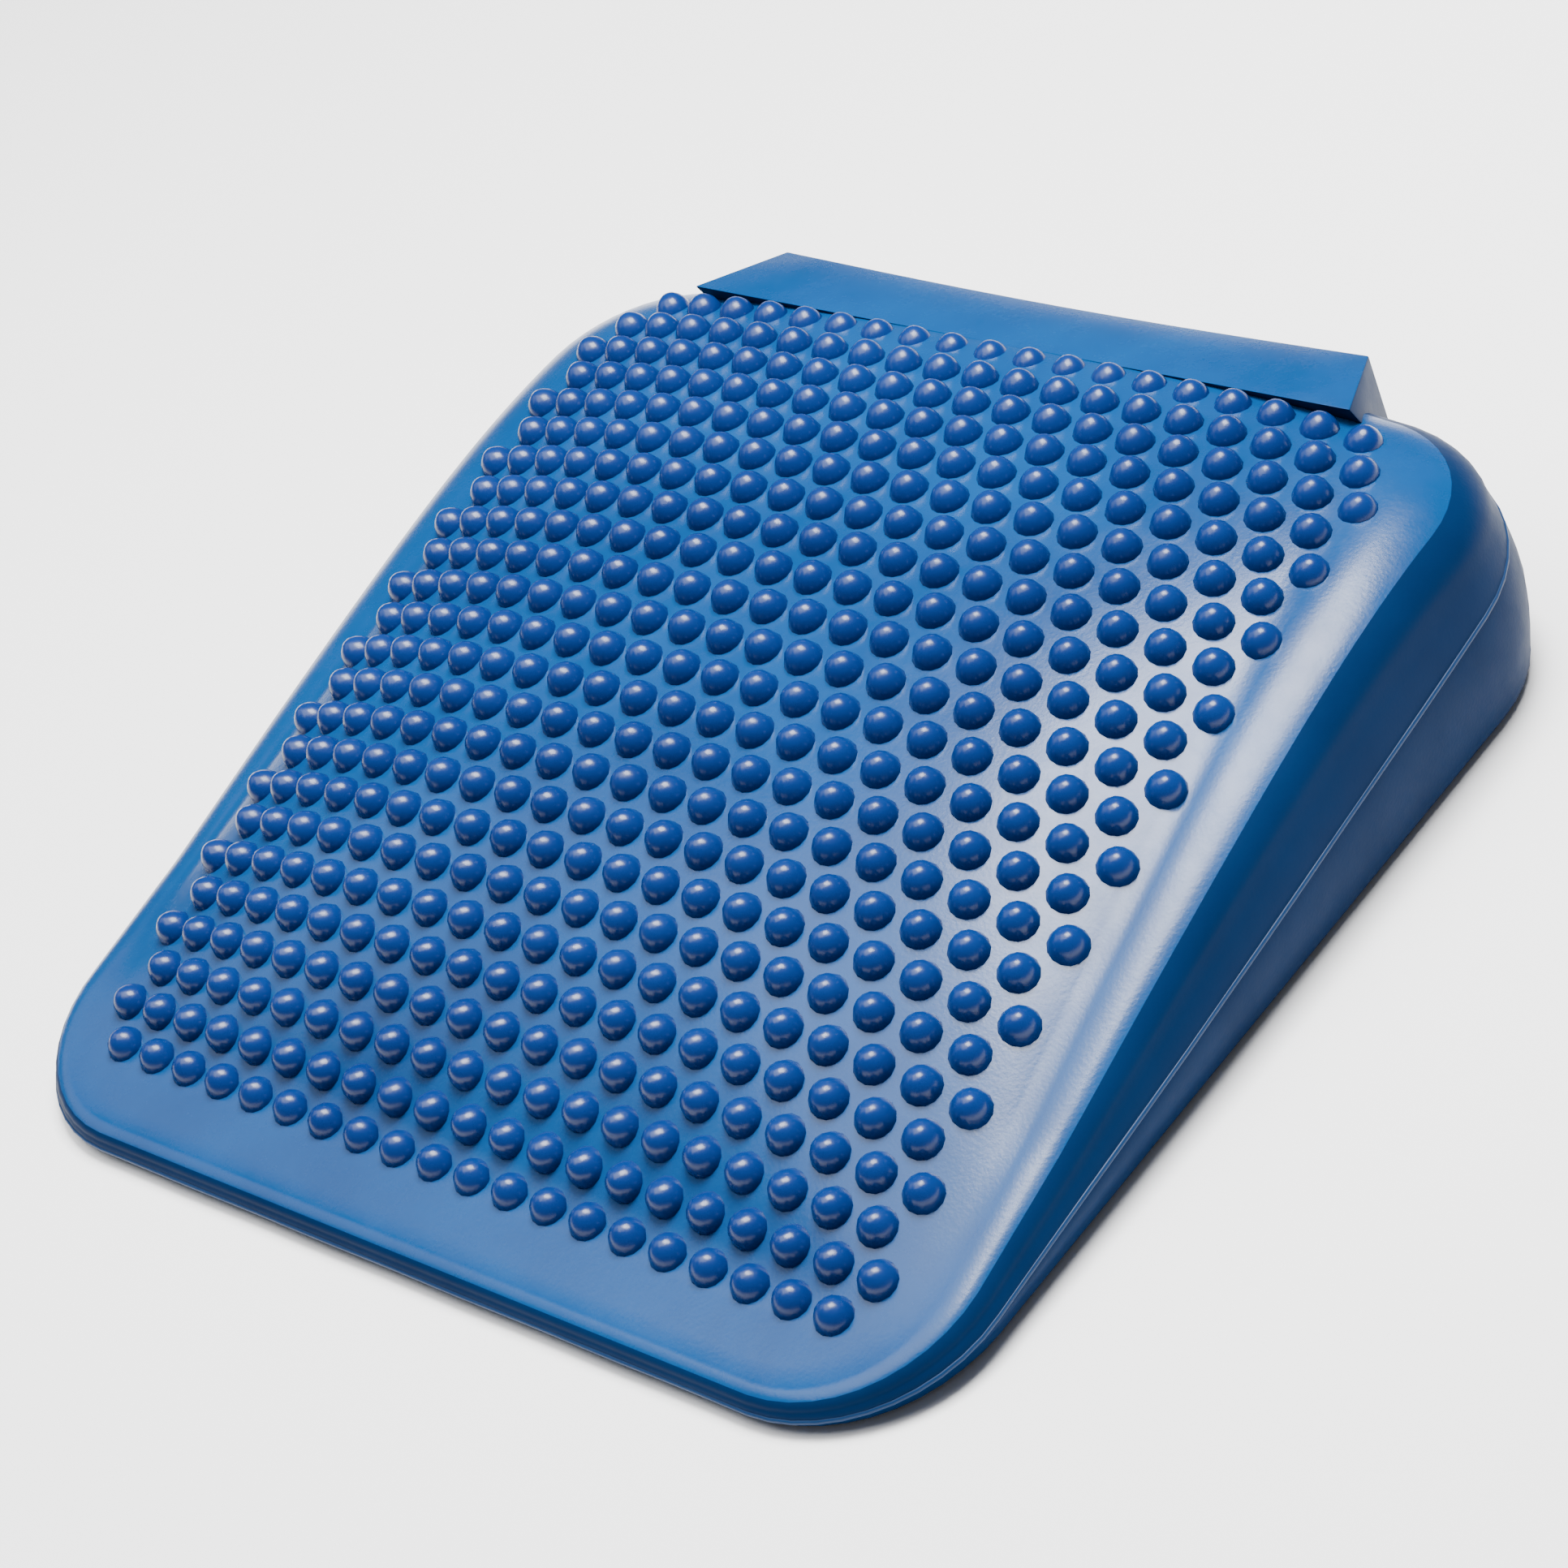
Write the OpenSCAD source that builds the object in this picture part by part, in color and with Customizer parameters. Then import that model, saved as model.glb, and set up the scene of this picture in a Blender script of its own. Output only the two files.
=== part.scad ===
// Wedge-shaped inflatable wobble cushion: a thin-walled air bladder with a
// crowned, studded seat, a flat underside, a mould parting bead and a rear pad
// that carries the inflation valve.
// Units are mm. Origin: middle of the bounding box on the floor. +Z up,
// +Y towards the thick end, +X across the cushion.

/* [Overall] */
// Width of the plan outline before the side walls bulge
width = 354.8; // [300:0.2:420]
// Length of the plan outline, thin edge to back wall
length = 342.6; // [300:0.2:420]
// Distance from the outline's middle to the origin
outline_shift = -4.3; // [-15:0.1:15]
// Corner radius in plan
corner_r = 48.6; // [20:0.2:80]
// Angle between the underside and the seat plane
wedge = 12.6; // [5:0.1:20]
// Height of the middle of the seat above the floor, studs left out
seat_h = 74.5; // [50:0.5:110]
// Wall thickness of the skin
skin = 2; // [1:0.1:4]

/* [Crown] */
// Height of the crown over the seat's rim plane
crown = 27.4; // [5:0.1:50]
// Half width of the crowned area
crown_a = 163; // [120:0.5:175]
// Half length of the crowned area
crown_b = 146; // [120:0.5:175]
// How much lower the sides run at the thick end
crown_twist = 0.33; // [0:0.01:0.6]

// How far the seat falls away at the two thick corners
corner_drop = 9; // [0:0.5:20]

/* [Edges] */
// Radius between underside and side wall
bottom_r = 5.9; // [2:0.1:12]
// Plan width of the top edge rounding per mm of edge height
rim_plan = 0.42; // [0.1:0.01:0.6]
// Depth of the top edge rounding per mm of edge height
rim_drop = 0.24; // [0.1:0.01:0.5]
// Outward bulge of the inflated side wall
bulge = 3.4; // [0:0.1:8]
// Parting line height as a share of the edge height
parting = 0.55; // [0.4:0.01:0.7]
// Width of the parting bead
bead_w = 1.8; // [1:0.1:3]
// How far the parting bead stands out
bead_out = 0.7; // [0.3:0.1:2]

/* [Studs] */
// Distance between neighbouring studs
pitch = 15; // [12:0.1:20]
// Rows from the thin edge to the thick end
stud_rows = 24; // [10:1:30]
// Stud radius at the skin
stud_r = 5.6; // [3:0.1:6.5]
// Stud height over the skin
stud_h = 5.6; // [2:0.1:7]

/* [Rear pad and valve] */
// Width of the pad's face along its top edge
pad_w = 226; // [120:1:240]
// How far the pad's face lies behind the origin
pad_face = 176.6; // [170:0.1:185]
// Height of the pad's top edge
pad_top = 75; // [55:0.5:80]
// Height of the pad's lower edge
pad_low = 50; // [48:0.5:60]
// Height of the valve's axis
valve_z = 60; // [55:0.5:66]
// Outside radius of the valve sleeve
sleeve_r = 7; // [5:0.1:9]
// Bore radius of the valve sleeve
bore_r = 2.6; // [1.5:0.05:4]
// Radius of the plug's head
plug_r = 5.4; // [4:0.1:7]

/* [Hidden] */
yc = outline_shift;
sw = sin(wedge);
cw = cos(wedge);
ax = width / 2 - corner_r;
ay = length / 2 - corner_r;
row_step = pitch * sqrt(3) / 2;
seat_y = -8.8;
arc_n = 10;
side_n = 6;
gap = 0.3;

// outline stations: point and outward normal, anticlockwise from the right side
function corner(cx, cy, a0) = [for (i = [0 : arc_n - 1]) let (a = a0 + 90 * i / arc_n)
    [cx + corner_r * cos(a), cy + corner_r * sin(a), cos(a), sin(a)]];
function side(x0, y0, x1, y1, nx, ny) = [for (i = [0 : side_n - 1])
    [x0 + (x1 - x0) * i / side_n, y0 + (y1 - y0) * i / side_n, nx, ny]];
outline = concat(
    side(width / 2, yc - ay, width / 2, yc + ay, 1, 0),
    corner(ax, yc + ay, 0),
    side(ax, yc + length / 2, -ax, yc + length / 2, 0, 1),
    corner(-ax, yc + ay, 90),
    side(-width / 2, yc + ay, -width / 2, yc - ay, -1, 0),
    corner(-ax, yc - ay, 180),
    side(-ax, yc - length / 2, ax, yc - length / 2, 0, -1),
    corner(ax, yc - ay, 270));
n = len(outline);

// crown over the rim plane, in the seat plane's own u, v
function falloff(t, m, e) = pow(max(0, 1 - pow(abs(t), m)), e);
function dome(u, v) = crown * (1 - crown_twist * (v / 150) * pow(u / 150, 2))
    * falloff(u / crown_a, 2.74, 0.95) * falloff((v - 1.4) / crown_b, 2.55, 0.94);
// height of the rim plane, then of the seat surface, over the point x, y
function v_at(y, w) = (y - seat_y + sw * w) / cw;
function z_at(y, w) = seat_h + sw * v_at(y, w) + cw * w;
function edge_z(y) = z_at(y, -crown);
function seat_w(x, y, w, k) = k == 0 ? w : seat_w(x, y, dome(x, v_at(y, w)) - crown, k - 1);
function corner_fall(x, y) = corner_drop * pow(min(1.1, abs(x) / 150), 4) * pow(min(1.1, max(0, y / 145)), 4);
function seat_z(x, y) = z_at(y, seat_w(x, y, -crown, 4)) - corner_fall(x, y);

function rim_rh(y) = 2 + rim_plan * edge_z(y);
function rim_rv(y) = 1.5 + rim_drop * edge_z(y);
function low_r(y) = min(bottom_r, 0.35 * edge_z(y));
function swell(y) = bulge * min(1, edge_z(y) / 40);
function inset(o, d) = [o[0] - o[2] * d, o[1] - o[3] * d];
function toward(p, f) = [p[0] * f, yc + (p[1] - yc) * f];

// one point of the bladder's surface: q runs from the middle of the underside
// (0) over its edge (1 to 2), the wall (2 to 3) and the top edge (3 to 4) to the
// middle of the seat (5); t is the depth under the outer surface
function skin_pt(o, q, t) =
    let (y = o[1], rb = max(0.6, low_r(y) - t), rh = rim_rh(y), rv = rim_rv(y),
        lip = inset(o, rh), zi = seat_z(lip[0], lip[1]) - t, z3 = zi - rv + t,
        z2 = rb + t)
    q <= 1 ? let (p = toward(inset(o, rb + t), q)) [p[0], p[1], t]
    : q <= 2 ? let (a = 90 * (q - 1), p = inset(o, t + rb * (1 - sin(a)))) [p[0], p[1], t + rb * (1 - cos(a))]
    : q <= 3 ? let (f = q - 2, p = inset(o, t - swell(y) * sin(180 * f))) [p[0], p[1], z2 + (z3 - z2) * f]
    : q <= 4 ? let (a = 90 * (q - 3), p = inset(o, t + (rh - t) * (1 - cos(a)))) [p[0], p[1], z3 + (rv - t) * sin(a)]
    : let (p = toward(lip, 5 - q)) [p[0], p[1], seat_z(p[0], p[1]) - t];

// share of the wall at which the parting line runs
function part_q(o) = let (y = o[1], z2 = low_r(y), lip = inset(o, rim_rh(y)), z3 = seat_z(lip[0], lip[1]) - rim_rv(y))
    2 + min(0.9, max(0.1, (parting * edge_z(y) - z2) / (z3 - z2)));

// a closed piece of skin between the given rings; cap closes it at the middle
function ring(qs, t) = [for (q = qs) for (o = outline) skin_pt(o, q, t)];
function band(r, flip, base) = [for (i = [0 : n - 1]) let (j = (i + 1) % n,
    a = base + r * n + i, b = base + r * n + j, c = base + (r + 1) * n + j, d = base + (r + 1) * n + i)
    each (flip ? [[a, b, c], [a, c, d]] : [[a, c, b], [a, d, c]])];
function joinrow(p, q, flip) = [for (i = [0 : n - 1]) let (j = (i + 1) % n)
    each (flip ? [[p + i, p + j, q + j], [p + i, q + j, q + i]] : [[p + i, q + j, p + j], [p + i, q + i, q + j]])];

module skin_piece(qs, floor_cap = false, seat_cap = false) {
    m = len(qs);
    last = m * n;
    pts = concat(ring(qs, 0), ring(qs, skin),
        floor_cap ? [[0, yc, 0], [0, yc, skin]] : [],
        seat_cap ? [[0, yc, seat_z(0, yc)], [0, yc, seat_z(0, yc) - skin]] : []);
    k = 2 * last;
    faces = concat(
        [for (r = [0 : m - 2]) each band(r, false, 0)],
        [for (r = [0 : m - 2]) each band(r, true, last)],
        floor_cap ? [for (i = [0 : n - 1]) let (j = (i + 1) % n) each [[k, i, j], [k + 1, last + j, last + i]]]
            : joinrow(0, last, true),
        seat_cap ? [for (i = [0 : n - 1]) let (j = (i + 1) % n, a = (m - 1) * n) each
                [[k, a + j, a + i], [k + 1, last + a + i, last + a + j]]]
            : joinrow((m - 1) * n, last + (m - 1) * n, false));
    polyhedron(points = pts, faces = faces, convexity = 6);
}

// the wall's rings follow the parting line, so they are built ring by ring
function wall_ring(kind, f, t, d) = [for (o = outline) let (pq = part_q(o))
    kind == 0 ? skin_pt(o, 2 + (pq - 2) * f - d, t) : skin_pt(o, pq + d + (3 - pq - d) * f, t)];
module ring_piece(outer, inner) {
    m = len(outer);
    last = m * n;
    pts = concat([for (r = outer) each r], [for (r = inner) each r]);
    faces = concat(
        [for (r = [0 : m - 2]) each band(r, false, 0)],
        [for (r = [0 : m - 2]) each band(r, true, last)],
        joinrow(0, last, true),
        joinrow((m - 1) * n, last + (m - 1) * n, false));
    polyhedron(points = pts, faces = faces, convexity = 6);
}

crease_q = 3 + 40 / 90;

/* Parts */

module bottom_panel() {
    color([0.13, 0.36, 0.62])
        skin_piece([1, 1.25, 1.5, 1.75, 2], floor_cap = true);
}

module lower_wall() {
    fs = [0, 0.25, 0.5, 0.75, 1];
    color([0.12, 0.33, 0.58])
        ring_piece([for (f = fs) wall_ring(0, f, 0, 0)], [for (f = fs) wall_ring(0, f, skin, 0)]);
}

module upper_wall() {
    fs = [0, 0.25, 0.5, 0.75, 1];
    as = [0.11, 0.22, 0.33, 4 / 9 - 0.006];
    color([0.14, 0.38, 0.66])
        difference() {
            ring_piece(
                concat([for (f = fs) wall_ring(1, f, 0, 0.012)], [for (a = as) ring([3 + a], 0)]),
                concat([for (f = fs) wall_ring(1, f, skin, 0.012)], [for (a = as) ring([3 + a], skin)]));
            translate([0, pad_face - 30, valve_z]) rotate([-90, 0, 0])
                cylinder(h = 40, r = sleeve_r, $fn = 48);
        }
}

module top_panel() {
    color([0.16, 0.42, 0.7])
        skin_piece([crease_q, 3.6, 3.8, 4, 4.08, 4.16, 4.25, 4.35, 4.5, 4.65, 4.8, 4.95],
            seat_cap = true);
}

// a ridge on the outer surface, just under the line where the halves meet
module parting_bead() {
    function bead_pt(o, dz, out) = let (p = skin_pt(o, part_q(o), 0)) [p[0] + o[2] * out, p[1] + o[3] * out, p[2] + dz];
    rows = [[-bead_w, -0.6], [-bead_w, 0.1], [-0.75 * bead_w, bead_out * 0.8], [-0.5 * bead_w, bead_out],
        [-0.25 * bead_w, bead_out * 0.8], [-0.15, 0.1], [-0.15, -0.6]];
    m = len(rows);
    color([0.2, 0.45, 0.72])
        polyhedron(points = [for (r = rows) for (o = outline) bead_pt(o, r[0], r[1])],
            faces = [for (r = [0 : m - 1]) each joinrow(r * n, ((r + 1) % m) * n, false)], convexity = 6);
}

// stud centres in the seat plane; every other row is half a pitch over
function row_count(r) = r == stud_rows - 1 ? 19 : (r == stud_rows - 2 ? 20 : 20 + (r % 2));
function drawn_in(t) = t - 1.5 * sign(t) * pow(abs(t) / 150, 4);
studs = [for (r = [0 : stud_rows - 1]) for (i = [0 : row_count(r) - 1])
    [drawn_in((i - (row_count(r) - 1) / 2) * pitch), drawn_in((r - (stud_rows - 1) / 2) * row_step)]];
// where a stud stands, in row axes, and how the surface leans there
function seat_pt(u, v) = let (w = dome(u, v) - crown) [u, seat_y + cw * v - sw * w, 0];
function on_skin(u, v) = let (p = seat_pt(u, v), o = near_edge(p)) [p[0], p[1], over_rim(p, o)];
function edge_gap(p) = let (dx = abs(p[0]) - ax, dy = abs(p[1] - yc) - ay)
    corner_r - (dx > 0 && dy > 0 ? norm([dx, dy]) : max(dx, dy));
function near_edge(p) = edge_gap(p);
function over_rim(p, d) = let (rh = rim_rh(p[1]), rv = rim_rv(p[1]), k = max(0, (rh - d) / rh))
    seat_z(p[0], p[1]) - rv * (1 - sqrt(max(0, 1 - k * k)));
function lean(u, v) = let (e = 2, a = on_skin(u + e, v), b = on_skin(u - e, v), c = on_skin(u, v + e), d = on_skin(u, v - e))
    cross(a - b, c - d);

// each stud is a small six-sided dome sunk a little into the skin
stud_sink = 1;
function unit(v) = v / norm(v);
function stud_pts(s) = let (p = on_skin(s[0], s[1]), nz = unit(lean(s[0], s[1])),
    nx = unit(cross([0, 1, 0], nz)), ny = cross(nz, nx))
    concat(
        [for (a = [0 : 60 : 300]) p + stud_r * (cos(a) * nx + sin(a) * ny) - stud_sink * nz],
        [for (a = [0 : 60 : 300]) p + 0.86 * stud_r * (cos(a) * nx + sin(a) * ny) + 0.6 * stud_h * nz],
        [p + stud_h * nz]);
function stud_faces(b) = concat([[for (i = [0 : 5]) b + i]],
    [for (i = [0 : 5]) let (j = (i + 1) % 6) [b + i, b + 6 + i, b + 6 + j, b + j]],
    [for (i = [0 : 5]) let (j = (i + 1) % 6) [b + 6 + i, b + 12, b + 6 + j]]);
module massage_studs() {
    color([0.05, 0.2, 0.5])
        polyhedron(points = [for (s = studs) each stud_pts(s)],
            faces = [for (k = [0 : len(studs) - 1]) each stud_faces(13 * k)], convexity = 10);
}

module rear_pad() {
    back = yc + length / 2;
    color([0.14, 0.38, 0.64])
        difference() {
            hull() {
                translate([-pad_w / 2, pad_face - 1, pad_low + 3]) cube([pad_w, 1, pad_top - pad_low - 3]);
                translate([-pad_w / 2 - 14, back - 16, pad_low]) cube([pad_w + 28, 1, pad_top - pad_low + 6]);
            }
            translate([-200, 0, 0]) cube([400, back - 2.9, 120]);
            translate([0, pad_face - 30, valve_z]) rotate([-90, 0, 0])
                cylinder(h = 40, r = sleeve_r, $fn = 48);
        }
}

module valve_sleeve() {
    color([0.1, 0.12, 0.16])
        translate([0, pad_face - 16, valve_z]) rotate([-90, 0, 0])
            rotate_extrude($fn = 64)
                polygon([[bore_r, 0], [sleeve_r - 1, 0], [sleeve_r, 1], [sleeve_r, 16], [sleeve_r - 0.6, 16.4],
                    [plug_r + 0.3, 16.4], [plug_r + 0.3, 14.8], [bore_r, 14.8]]);
}

module valve_plug() {
    color([0.08, 0.09, 0.12])
        translate([0, pad_face - 16, valve_z]) rotate([-90, 0, 0])
            rotate_extrude($fn = 64)
                polygon([[0, 3], [1.4, 3], [bore_r - 0.06, 4.4], [bore_r - 0.06, 14.9], [plug_r, 14.9],
                    [plug_r, 16], [plug_r - 0.7, 16.5], [0, 16.5]]);
}

bottom_panel();
lower_wall();
parting_bead();
upper_wall();
top_panel();
massage_studs();
rear_pad();
valve_sleeve();
valve_plug();
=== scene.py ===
import bpy
import math
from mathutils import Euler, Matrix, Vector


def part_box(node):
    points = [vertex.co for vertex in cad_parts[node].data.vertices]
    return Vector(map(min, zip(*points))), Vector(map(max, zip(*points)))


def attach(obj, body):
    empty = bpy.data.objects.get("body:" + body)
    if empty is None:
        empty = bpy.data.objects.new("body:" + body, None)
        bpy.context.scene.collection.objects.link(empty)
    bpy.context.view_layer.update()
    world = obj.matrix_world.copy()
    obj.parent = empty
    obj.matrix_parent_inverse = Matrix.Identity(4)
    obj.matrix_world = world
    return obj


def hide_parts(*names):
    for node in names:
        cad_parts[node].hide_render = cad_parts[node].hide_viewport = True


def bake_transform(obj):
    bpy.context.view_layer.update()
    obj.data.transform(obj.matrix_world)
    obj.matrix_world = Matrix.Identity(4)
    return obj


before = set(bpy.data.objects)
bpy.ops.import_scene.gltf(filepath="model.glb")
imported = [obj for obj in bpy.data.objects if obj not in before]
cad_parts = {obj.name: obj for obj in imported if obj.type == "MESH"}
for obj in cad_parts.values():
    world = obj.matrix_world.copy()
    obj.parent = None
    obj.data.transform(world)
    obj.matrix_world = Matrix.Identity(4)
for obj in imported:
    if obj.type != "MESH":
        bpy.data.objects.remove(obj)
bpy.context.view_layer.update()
bpy.ops.object.select_all(action="DESELECT")

# the cushion's outline and edges, in mm, as the solid parts have them
cushion = {
    "width": 354.8, "length": 342.6, "shift": -4.3, "cornerRadius": 48.6,
    "wedge": math.radians(12.6), "seatHeight": 74.5, "seatShift": -8.8,
    "crown": 27.4, "crownHalfWidth": 163.0, "crownHalfLength": 146.0, "crownBack": 1.4,
    "acrossPower": 2.74, "acrossEase": 0.95,  # how full and how soft the dome is from side to side
    "alongPower": 2.55, "alongEase": 0.94,  # the same from the thin edge to the back
    "crownTwist": 0.33, "twistReach": 150,  # the sides run lower towards the back
    "cornerDrop": 9.0, "dropReachX": 150, "dropReachY": 145, "dropLimit": 1.1,  # fall of the thick corners
    "bottomRadius": 5.9, "bottomShare": 0.35,  # the radius shrinks where the edge is thin
    "rimPlan": 0.42, "rimPlanLeast": 2, "rimDrop": 0.24, "rimDropLeast": 1.5,
    "bulge": 3.4, "bulgeFullAt": 40,  # edge height from which the wall swells in full
    "parting": 0.55, "partingLow": 0.1, "partingHigh": 0.9,
    "stations": 192, "crease": 3.0 + 40.0 / 90.0,
}
sinW, cosW = math.sin(cushion["wedge"]), math.cos(cushion["wedge"])
armX = cushion["width"] / 2 - cushion["cornerRadius"]
armY = cushion["length"] / 2 - cushion["cornerRadius"]


def falloff(t, power, ease):
    return max(0.0, 1 - abs(t) ** power) ** ease


def domeHeight(u, v):
    twist = 1 - cushion["crownTwist"] * (v / cushion["twistReach"]) * (u / cushion["twistReach"]) ** 2
    across = falloff(u / cushion["crownHalfWidth"], cushion["acrossPower"], cushion["acrossEase"])
    along = falloff((v - cushion["crownBack"]) / cushion["crownHalfLength"],
                    cushion["alongPower"], cushion["alongEase"])
    return cushion["crown"] * twist * across * along


# v runs along the tilted seat, w stands square to it
def alongSeat(y, w):
    return (y - cushion["seatShift"] + sinW * w) / cosW


def heightAt(y, w):
    return cushion["seatHeight"] + sinW * alongSeat(y, w) + cosW * w


def edgeHeight(y):
    return heightAt(y, -cushion["crown"])


def cornerFall(x, y):
    sideways = min(cushion["dropLimit"], abs(x) / cushion["dropReachX"])
    backwards = min(cushion["dropLimit"], max(0.0, y / cushion["dropReachY"]))
    return cushion["cornerDrop"] * sideways ** 4 * backwards ** 4


def seatHeight(x, y):
    w = -cushion["crown"]
    for _ in range(4):  # the dome stands on the tilted seat, so its height is closed in on
        w = domeHeight(x, alongSeat(y, w)) - cushion["crown"]
    return heightAt(y, w) - cornerFall(x, y)


def rimAcross(y):
    return cushion["rimPlanLeast"] + cushion["rimPlan"] * edgeHeight(y)


def rimDown(y):
    return cushion["rimDropLeast"] + cushion["rimDrop"] * edgeHeight(y)


def lowRadius(y):
    return min(cushion["bottomRadius"], cushion["bottomShare"] * edgeHeight(y))


# a point of the outline and its outward direction, share 0 to 1 going round
def outlineStation(share):
    straightX, straightY = 2 * armX, 2 * armY
    arc = math.pi / 2 * cushion["cornerRadius"]
    walk = (share % 1.0) * (2 * straightX + 2 * straightY + 4 * arc)
    r, yc = cushion["cornerRadius"], cushion["shift"]
    legs = [(straightY, 0), (straightX, 90), (straightY, 180), (straightX, 270)]
    corners = [(armX, armY), (-armX, armY), (-armX, -armY), (armX, -armY)]
    for (leg, turn), (cx, cy) in zip(legs, corners):
        nx, ny = math.cos(math.radians(turn)), math.sin(math.radians(turn))
        if walk < leg:
            back = leg - walk
            return (cx + r * nx + ny * back, yc + cy + r * ny - nx * back, nx, ny)
        walk -= leg
        if walk < arc:
            a = math.radians(turn) + walk / r
            return (cx + r * math.cos(a), yc + cy + r * math.sin(a), math.cos(a), math.sin(a))
        walk -= arc
    return (armX + r, yc - armY, 1.0, 0.0)


# q goes from the middle of the underside (0) over its edge (1 to 2), the wall (2 to 3)
# and the top edge (3 to 4) to the middle of the seat (5)
def skinPoint(station, q):
    x, y, nx, ny = station
    low = lowRadius(y)
    across, down = rimAcross(y), rimDown(y)
    lipX, lipY = x - nx * across, y - ny * across
    top = seatHeight(lipX, lipY)
    swell = cushion["bulge"] * min(1.0, edgeHeight(y) / cushion["bulgeFullAt"])
    if q <= 1:
        return ((x - nx * low) * q, cushion["shift"] + (y - ny * low - cushion["shift"]) * q, 0.0)
    if q <= 2:
        a = math.pi / 2 * (q - 1)
        d = low * (1 - math.sin(a))
        return (x - nx * d, y - ny * d, low * (1 - math.cos(a)))
    if q <= 3:
        d = -swell * math.sin(math.pi * (q - 2))
        return (x - nx * d, y - ny * d, low + (top - down - low) * (q - 2))
    if q <= 4:
        a = math.pi / 2 * (q - 3)
        d = across * (1 - math.cos(a))
        return (x - nx * d, y - ny * d, top - down + down * math.sin(a))
    px, py = lipX * (5 - q), cushion["shift"] + (lipY - cushion["shift"]) * (5 - q)
    return (px, py, seatHeight(px, py))


def partingShare(station):
    y = station[1]
    low = lowRadius(y)
    across = rimAcross(y)
    top = seatHeight(station[0] - station[2] * across, y - station[3] * across) - rimDown(y)
    upWall = (cushion["parting"] * edgeHeight(y) - low) / (top - low)
    return 2 + min(cushion["partingHigh"], max(cushion["partingLow"], upWall))


stations = [outlineStation(i / cushion["stations"]) for i in range(cushion["stations"])]


# the outline station that a point of a round primitive belongs to
def stationOf(co):
    turn = math.atan2(co.y, co.x) / (2 * math.pi)
    return stations[round(turn * cushion["stations"]) % cushion["stations"]]


def finishPiece(obj, name):
    obj.name = name
    obj.data.name = name
    bpy.ops.object.select_all(action="DESELECT")
    obj.select_set(True)
    bpy.context.view_layer.objects.active = obj
    bpy.ops.object.transform_apply(location=True, rotation=True, scale=True)
    bpy.ops.object.mode_set(mode="EDIT")
    bpy.ops.mesh.select_all(action="SELECT")
    bpy.ops.mesh.normals_make_consistent(inside=False)
    bpy.ops.object.mode_set(mode="OBJECT")
    bpy.ops.object.shade_smooth()
    return obj


# the bladder: a ball whose rings are drawn out to the cushion's own rings, closer where it curves
ringPlaces = [
    0.25, 0.5, 0.75, 0.94, 1.0, 1.2, 1.4, 1.6, 1.8, 2.0,
    2.15, 2.3, 2.45, 2.6, 2.75, 2.9, 3.0,
    3.08, 3.16, 3.24, 3.32, 3.39, cushion["crease"], 3.5, 3.58, 3.66, 3.74, 3.82, 3.91, 4.0,
    4.03, 4.06, 4.1, 4.14, 4.18, 4.23, 4.28, 4.34, 4.4, 4.47, 4.54, 4.61, 4.68, 4.75, 4.82, 4.89, 4.95,
]
bpy.ops.mesh.primitive_uv_sphere_add(segments=cushion["stations"], ring_count=len(ringPlaces) + 1,
                                     radius=0.1)
bladder = bpy.context.object
zLevels = sorted({round(v.co.z, 6) for v in bladder.data.vertices})
creaseRing = ringPlaces.index(cushion["crease"])
ringOf = {}
for vert in bladder.data.vertices:
    level = zLevels.index(round(vert.co.z, 6))
    if level == 0:
        place = (0.0, cushion["shift"], 0.0)
    elif level == len(zLevels) - 1:
        place = (0.0, cushion["shift"], seatHeight(0.0, cushion["shift"]))
    else:
        place = skinPoint(stationOf(vert.co), ringPlaces[level - 1])
    ringOf[vert.index] = level - 1
    vert.co = Vector(place) / 1000
bpy.ops.object.mode_set(mode="EDIT")
bpy.ops.mesh.select_all(action="DESELECT")
bpy.ops.object.mode_set(mode="OBJECT")
for face in bladder.data.polygons:
    face.select = min(ringOf[i] for i in face.vertices) >= creaseRing
bpy.ops.object.mode_set(mode="EDIT")
bpy.ops.mesh.select_mode(type="FACE")
bpy.ops.mesh.separate(type="SELECTED")
bpy.ops.object.mode_set(mode="OBJECT")
crownSkin = [o for o in bpy.context.selected_objects if o is not bladder][0]
finishPiece(bladder, "bladder_skin")
finishPiece(crownSkin, "crown_skin")
# an open sheet can come out upside down, so the crown has to face up and the underside down
underside = 0.0005
if sum(p.normal.z for p in crownSkin.data.polygons) < 0:
    crownSkin.data.flip_normals()
if sum(p.normal.z for p in bladder.data.polygons if p.center.z < underside) > 0:
    bladder.data.flip_normals()
print("bladder and crown done")

# the ridge where the mould halves met, in mm; a ring in metres is drawn out to the wall
bead = {"rise": 0.75, "halfHeight": 0.85, "below": 0.9, "bite": 0.15, "sides": 8,
        "unevenness": 0.12, "waveX": 9, "waveY": 13}
ringStart = {"radius": 0.15, "thickness": 0.01}
bpy.ops.object.select_all(action="DESELECT")
bpy.ops.mesh.primitive_torus_add(major_segments=cushion["stations"], minor_segments=bead["sides"],
                                 major_radius=ringStart["radius"], minor_radius=ringStart["thickness"])
partingBead = bpy.context.object
for vert in partingBead.data.vertices:
    station = stationOf(vert.co)
    around = math.atan2(vert.co.z, math.hypot(vert.co.x, vert.co.y) - ringStart["radius"])
    wobble = 1 + bead["unevenness"] * math.sin(station[0] / bead["waveX"] + station[1] / bead["waveY"])
    base = skinPoint(station, partingShare(station))
    out = bead["rise"] * math.cos(around) * wobble - bead["bite"]
    vert.co = Vector((base[0] + station[2] * out, base[1] + station[3] * out,
                      base[2] - bead["below"] + bead["halfHeight"] * math.sin(around))) / 1000
finishPiece(partingBead, "parting_ridge")
print("parting ridge done")

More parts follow.
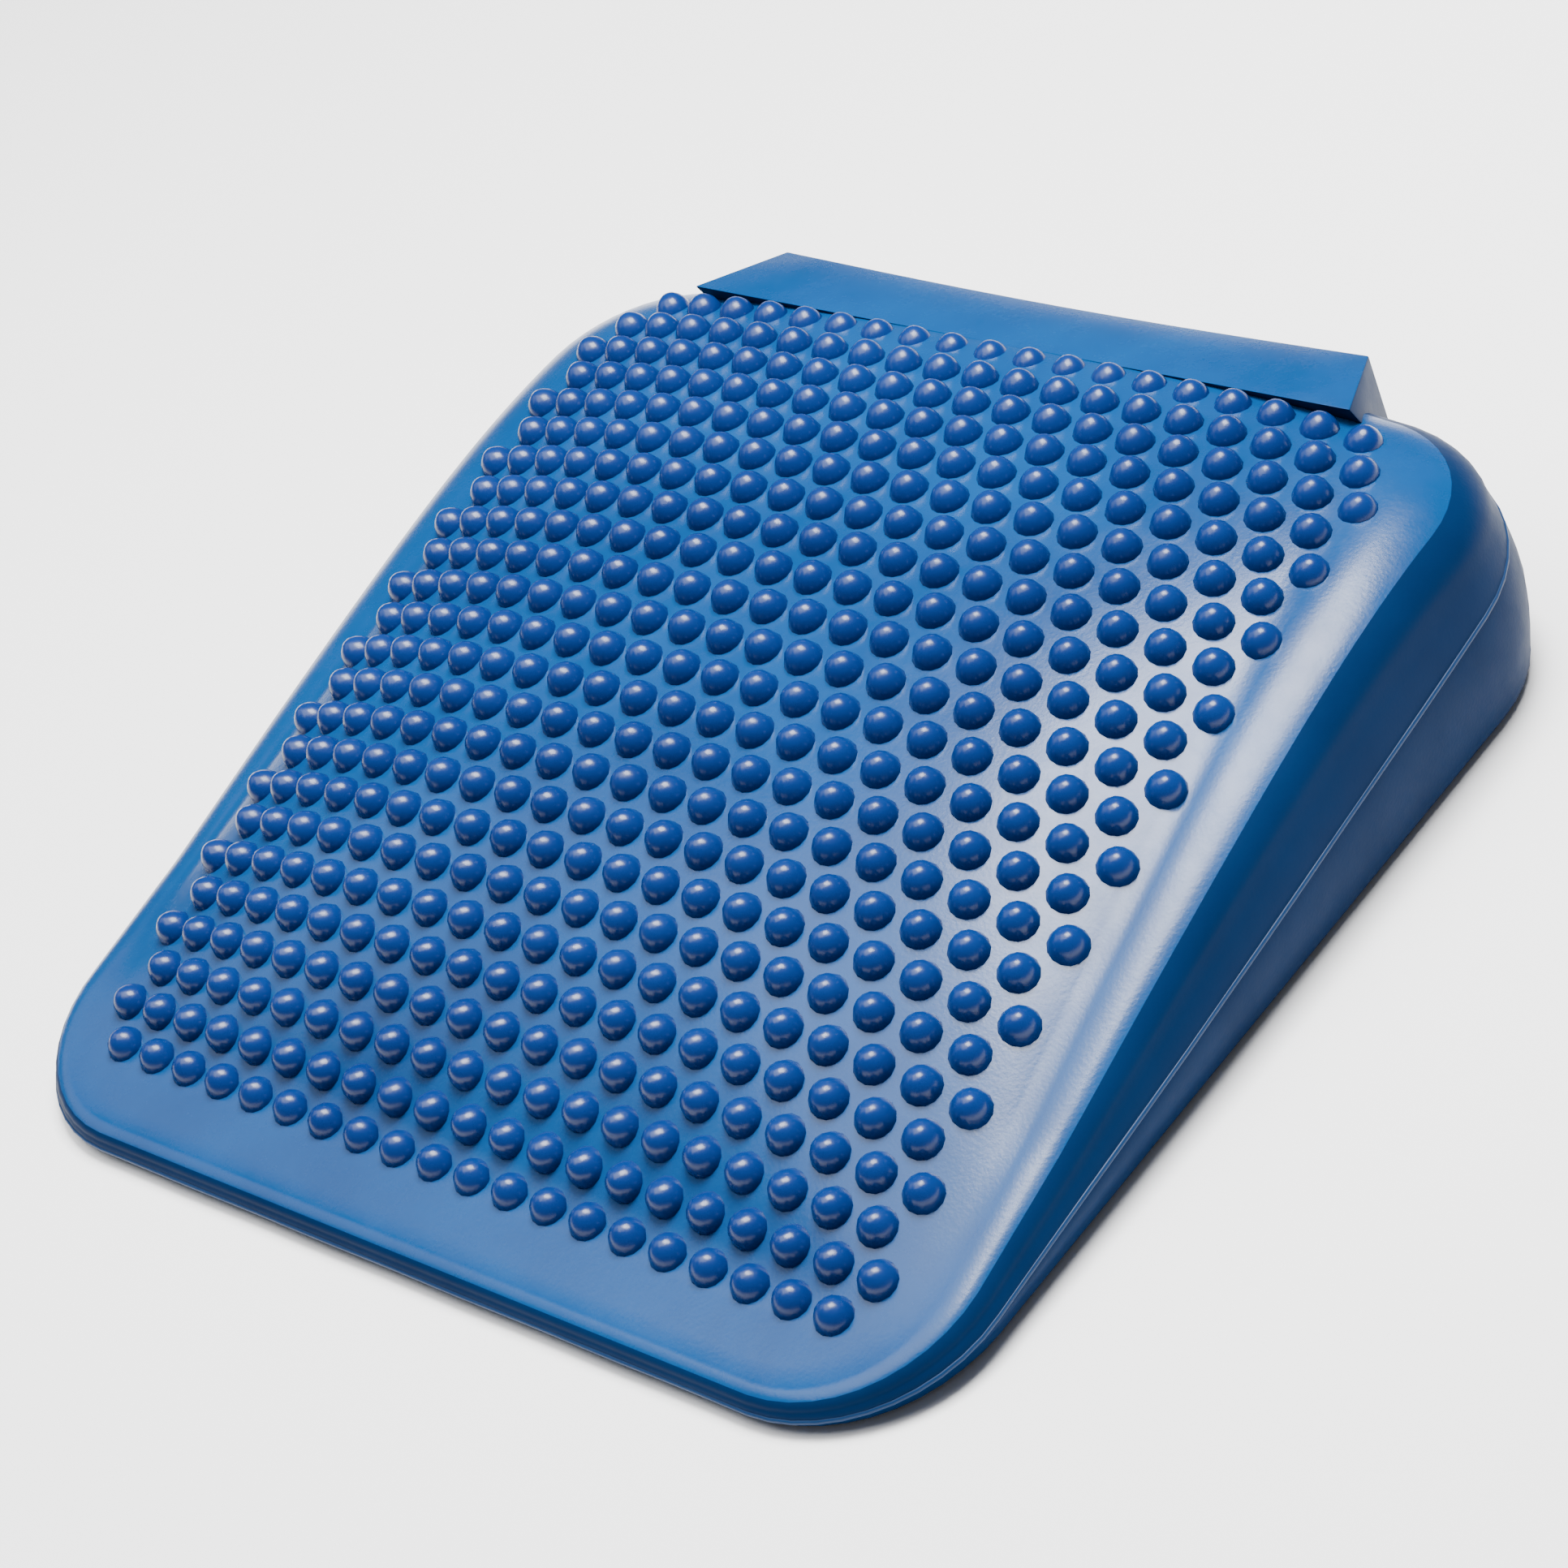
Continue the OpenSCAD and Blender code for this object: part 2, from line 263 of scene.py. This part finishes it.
# the massage studs, one small dome copied over the crown, in mm
stud = {
    "pitch": 15.0, "rows": 24, "perRow": 20, "drawIn": 1.5, "drawReach": 150, "probe": 2,
    "radius": 5.6, "sides": 14, "rings": 10, "sink": 0.9,
    "footLevel": 0.0001, "footSpread": 1.07,  # metres, then a share
    "tipFrom": 0.8, "tipSpan": 0.2, "tipRise": 0.00035,  # shares of the radius, then metres
}


def drawnIn(t):
    return t - stud["drawIn"] * math.copysign(1, t) * (abs(t) / stud["drawReach"]) ** 4


def studsInRow(row):
    if row == stud["rows"] - 1:
        return stud["perRow"] - 1
    if row == stud["rows"] - 2:
        return stud["perRow"]
    return stud["perRow"] + row % 2


def onSkin(u, v):
    w = domeHeight(u, v) - cushion["crown"]
    x, y = u, cushion["seatShift"] + cosW * v - sinW * w
    dx, dy = abs(x) - armX, abs(y - cushion["shift"]) - armY
    gap = cushion["cornerRadius"] - (math.hypot(dx, dy) if dx > 0 and dy > 0 else max(dx, dy))
    across, down = rimAcross(y), rimDown(y)
    k = max(0.0, (across - gap) / across)
    return Vector((x, y, seatHeight(x, y) - down * (1 - math.sqrt(max(0.0, 1 - k * k)))))


def leanAt(u, v):
    sideways = onSkin(u + stud["probe"], v) - onSkin(u - stud["probe"], v)
    backwards = onSkin(u, v + stud["probe"]) - onSkin(u, v - stud["probe"])
    return sideways.cross(backwards).normalized()


bpy.ops.object.select_all(action="DESELECT")
bpy.ops.mesh.primitive_uv_sphere_add(segments=stud["sides"], ring_count=stud["rings"],
                                     radius=stud["radius"] / 1000)
oneStud = bpy.context.object
bpy.ops.object.mode_set(mode="EDIT")
bpy.ops.mesh.select_all(action="SELECT")
bpy.ops.mesh.bisect(plane_co=(0, 0, -stud["sink"] / 1000), plane_no=(0, 0, 1), clear_inner=True)
bpy.ops.object.mode_set(mode="OBJECT")
for vert in oneStud.data.vertices:
    share = max(0.0, vert.co.z * 1000 / stud["radius"])
    if vert.co.z < stud["footLevel"]:
        vert.co.x *= stud["footSpread"]
        vert.co.y *= stud["footSpread"]
    # the small point on top
    vert.co.z = vert.co.z + stud["tipRise"] * max(0.0, share - stud["tipFrom"]) / stud["tipSpan"]
bpy.ops.object.shade_smooth()
copies = []
for row in range(stud["rows"]):
    count = studsInRow(row)
    for i in range(count):
        u = drawnIn((i - (count - 1) / 2) * stud["pitch"])
        v = drawnIn((row - (stud["rows"] - 1) / 2) * stud["pitch"] * math.sqrt(3) / 2)
        copy = oneStud.copy()
        copy.data = oneStud.data.copy()
        copy.location = onSkin(u, v) / 1000
        copy.rotation_euler = leanAt(u, v).to_track_quat("Z", "Y").to_euler()
        bpy.context.collection.objects.link(copy)
        copies.append(copy)
bpy.data.objects.remove(oneStud)
bpy.ops.object.select_all(action="DESELECT")
for copy in copies:
    copy.select_set(True)
bpy.context.view_layer.objects.active = copies[0]
bpy.ops.object.join()
studs = bpy.context.object
studs.name = "stud_field"
studs.data.name = "stud_field"
bpy.ops.object.transform_apply(location=True, rotation=True, scale=True)
print("studs done:", len(copies))

# the flat pad across the back, which holds the valve, in mm
pad = {
    "halfWidth": 113.0, "flare": 14.0, "face": 176.6, "top": 74.8, "low": 50.0,
    "innerY": 147.5, "innerTop": 80.2, "innerLowY": 162.0, "innerLowDrop": 4, "edge": 0.6,
    "cuts": 5, "cutStep": 19.0,  # the cuts let the top edge dip between its ends
    "dip": 2.2, "dipBehind": 170.0, "dipAbove": 60.0, "drillSides": 48, "drillY": 0.17, "drillDepth": 0.06,
}
bpy.ops.object.select_all(action="DESELECT")
bpy.ops.mesh.primitive_cube_add(size=1)
rearPad = bpy.context.object
for vert in rearPad.data.vertices:
    side = 1 if vert.co.x > 0 else -1
    upper = vert.co.z > 0
    if vert.co.y > 0:
        place = (side * pad["halfWidth"], pad["face"], pad["top"] if upper else pad["low"])
    else:
        place = (side * (pad["halfWidth"] + pad["flare"]), pad["innerY"] if upper else pad["innerLowY"],
                 pad["innerTop"] if upper else pad["low"] - pad["innerLowDrop"])
    vert.co = Vector(place) / 1000
bpy.ops.object.mode_set(mode="EDIT")
bpy.ops.mesh.select_all(action="SELECT")
bpy.ops.mesh.bevel(offset=pad["edge"] / 1000, segments=2, affect="EDGES")
for cut in range(-pad["cuts"], pad["cuts"] + 1):
    bpy.ops.mesh.select_all(action="SELECT")
    bpy.ops.mesh.bisect(plane_co=(cut * (pad["cutStep"] / 1000), 0, 0), plane_no=(1, 0, 0))
bpy.ops.object.mode_set(mode="OBJECT")
for vert in rearPad.data.vertices:
    if vert.co.y > pad["dipBehind"] / 1000 and vert.co.z > pad["dipAbove"] / 1000:
        fromMiddle = min(1.0, abs(vert.co.x) / (pad["halfWidth"] / 1000))
        vert.co.z -= pad["dip"] / 1000 * math.cos(fromMiddle * math.pi / 2)
sleeveLow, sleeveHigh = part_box("valve_sleeve")
bpy.ops.mesh.primitive_cylinder_add(vertices=pad["drillSides"], radius=(sleeveHigh[0] - sleeveLow[0]) / 2,
                                    depth=pad["drillDepth"], rotation=(math.pi / 2, 0, 0),
                                    location=(0, pad["drillY"], (sleeveLow[2] + sleeveHigh[2]) / 2))
drill = bpy.context.object
hole = rearPad.modifiers.new("valveHole", "BOOLEAN")
hole.object = drill
hole.operation = "DIFFERENCE"
hole.solver = "EXACT"
bpy.context.view_layer.objects.active = rearPad
bpy.ops.object.modifier_apply(modifier="valveHole")
bpy.data.objects.remove(drill)
finishPiece(rearPad, "valve_pad")
bpy.ops.object.shade_smooth_by_angle(angle=math.radians(35))
print("rear pad done")


def nodeIn(tree, kind, **values):
    node = tree.nodes.new(kind)
    for key, value in values.items():
        if key in node.inputs:
            node.inputs[key].default_value = value
        else:
            setattr(node, key, value)
    return node


# moulded vinyl: blotchy colour, fine orange peel, small scuffs that dull the gloss
grain = {
    "cloud": 14.0, "cloudDetail": 5.0, "cloudRoughness": 0.6, "tintFrom": 0.3, "tintTo": 0.72,
    "scuff": 60.0, "scuffDetail": 8.0, "scuffRoughness": 0.75, "scuffFrom": 0.42, "scuffTo": 0.78,
    "speck": 900.0, "speckDetail": 2.0, "bump": 0.35, "ior": 1.5, "coatRoughness": 0.18,
}


def vinyl(name, deep, light, rough, coat, peel=0.00012, scuffs=0.12, specular=0.5):
    material = bpy.data.materials.new(name)
    material.use_nodes = True
    tree = material.node_tree
    shader = tree.nodes["Principled BSDF"]
    coords = nodeIn(tree, "ShaderNodeTexCoord")
    cloud = nodeIn(tree, "ShaderNodeTexNoise", Scale=grain["cloud"], Detail=grain["cloudDetail"],
                   Roughness=grain["cloudRoughness"])
    speck = nodeIn(tree, "ShaderNodeTexNoise", Scale=grain["speck"], Detail=grain["speckDetail"])
    scuff = nodeIn(tree, "ShaderNodeTexNoise", Scale=grain["scuff"], Detail=grain["scuffDetail"],
                   Roughness=grain["scuffRoughness"])
    tint = nodeIn(tree, "ShaderNodeValToRGB")
    darkEnd, lightEnd = tint.color_ramp.elements
    darkEnd.position, lightEnd.position = grain["tintFrom"], grain["tintTo"]
    darkEnd.color, lightEnd.color = (*deep, 1), (*light, 1)
    gloss = nodeIn(tree, "ShaderNodeMapRange")
    gloss.inputs["From Min"].default_value = grain["scuffFrom"]
    gloss.inputs["From Max"].default_value = grain["scuffTo"]
    gloss.inputs["To Min"].default_value = rough
    gloss.inputs["To Max"].default_value = rough + scuffs
    bump = nodeIn(tree, "ShaderNodeBump", Strength=grain["bump"], Distance=peel)
    for texture in (cloud, speck, scuff):
        tree.links.new(coords.outputs["Object"], texture.inputs["Vector"])
    tree.links.new(cloud.outputs["Fac"], tint.inputs["Fac"])
    tree.links.new(tint.outputs["Color"], shader.inputs["Base Color"])
    tree.links.new(scuff.outputs["Fac"], gloss.inputs["Value"])
    tree.links.new(gloss.outputs["Result"], shader.inputs["Roughness"])
    tree.links.new(speck.outputs["Fac"], bump.inputs["Height"])
    tree.links.new(bump.outputs["Normal"], shader.inputs["Normal"])
    shader.inputs["IOR"].default_value = grain["ior"]
    shader.inputs["Specular IOR Level"].default_value = specular
    shader.inputs["Coat Weight"].default_value = coat
    shader.inputs["Coat Roughness"].default_value = grain["coatRoughness"]
    return material


skinVinyl = vinyl("blueVinyl", (0.0006, 0.034, 0.128), (0.0012, 0.052, 0.178), 0.24, 0.08, specular=0.25)
# the same blue vinyl made darker and duller for the walls: painted shade, as the walls face away from the
# overhead lamps
wallVinylPaintedShade = vinyl("wallVinylPaintedShade", (0.0005, 0.012, 0.048), (0.0009, 0.017, 0.064), 0.42, 0.0, specular=0.03)
studVinyl = vinyl("studVinyl", (0.0004, 0.018, 0.11), (0.0008, 0.025, 0.14), 0.26, 0.08,
                  scuffs=0.08, specular=0.32)
# the ridge's blue is darkened like the wall it runs along: painted shade
ridgeVinylPaintedShade = vinyl("ridgeVinylPaintedShade", (0.001, 0.02, 0.075), (0.002, 0.028, 0.095), 0.4, 0.0, specular=0.2)
valveRubber = vinyl("valveRubber", (0.012, 0.02, 0.04), (0.02, 0.032, 0.055), 0.55, 0.0, 0.0002)
plugRubber = vinyl("plugRubber", (0.007, 0.011, 0.022), (0.014, 0.02, 0.035), 0.6, 0.0, 0.0002)
# the walls and underside get the darker copy of the vinyl, painted shade; the crown and the pad's ledge get
# the lit one
for piece, material in ((bladder, wallVinylPaintedShade), (crownSkin, skinVinyl), (rearPad, skinVinyl),
                        (studs, studVinyl), (partingBead, ridgeVinylPaintedShade)):
    piece.data.materials.clear()
    piece.data.materials.append(material)
rearPad.data.materials.append(wallVinylPaintedShade)
for face in rearPad.data.polygons:
    face.material_index = 0 if face.normal.z > 0.6 else 1  # only the ledge on top is glossy; the pad's sides take the darker copy, painted shade
for nodeName, material in (("valve_sleeve", valveRubber), ("valve_plug", plugRubber)):
    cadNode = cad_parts[nodeName]
    if not cadNode.material_slots:
        cadNode.data.materials.append(material)
    for slot in cadNode.material_slots:
        slot.material = material
print("finishes done")

# the walls and the parting ridge are baked in place, and the rear pad is tied to the shell body
for piece in (bladder, partingBead):
    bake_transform(piece)
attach(rearPad, "shell")
# the crown and its studs are baked in place
for piece in (crownSkin, studs):
    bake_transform(piece)
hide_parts("bottom_panel", "lower_wall", "upper_wall")
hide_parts("parting_bead")
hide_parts("top_panel")
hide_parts("massage_studs")
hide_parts("rear_pad")
print("pieces tied to bodies")

# floor, light and camera, in metres
floorLook = {"size": 8, "below": 0.0004, "grey": 0.97, "roughness": 0.8}
bpy.ops.object.select_all(action="DESELECT")
bpy.ops.mesh.primitive_plane_add(size=floorLook["size"], location=(0, 0, -floorLook["below"]))
floor = bpy.context.object
floor.name = "studio_floor"
floorPaint = bpy.data.materials.new("paleFloor")
floorPaint.use_nodes = True
floorShader = floorPaint.node_tree.nodes["Principled BSDF"]
floorShader.inputs["Base Color"].default_value = (floorLook["grey"], floorLook["grey"], floorLook["grey"], 1)
floorShader.inputs["Roughness"].default_value = floorLook["roughness"]
floor.data.materials.append(floorPaint)

lightAim = Vector((0, 0, 0.04))
studioLights = [  # name, place, size, watts
    ("softboxOverhead", (0.14, 0.42, 1.5), 0.75, 78.0),
    ("wideOverhead", (-0.35, -0.25, 2.0), 1.6, 52.0),
    ("sideFill", (-1.4, -0.4, 1.2), 1.0, 6.0),
]
for name, place, size, power in studioLights:
    bpy.ops.object.light_add(type="AREA", location=place)
    lamp = bpy.context.object
    lamp.name = name
    lamp.data.size = size
    lamp.data.energy = power
    lamp.rotation_euler = (Vector(place) - lightAim).to_track_quat("Z", "Y").to_euler()
skyStrength = 0.16
world = bpy.data.worlds.new("paleStudio")
bpy.context.scene.world = world
world.use_nodes = True
world.node_tree.nodes["Background"].inputs["Color"].default_value = (1, 1, 1, 1)
world.node_tree.nodes["Background"].inputs["Strength"].default_value = skyStrength

viewpoint = {"place": (0.8445, -0.6109, 0.8073), "turn": (50.804, 18.558, 39.176), "lens": 103.16,
             "sensor": 36, "farthest": 20}
bpy.ops.object.camera_add(location=viewpoint["place"])
camera = bpy.context.object
camera.rotation_euler = Euler([math.radians(a) for a in viewpoint["turn"]], "XYZ")
camera.data.lens = viewpoint["lens"]
camera.data.sensor_width = viewpoint["sensor"]
camera.data.clip_end = viewpoint["farthest"]
bpy.context.scene.camera = camera
print("scene set")
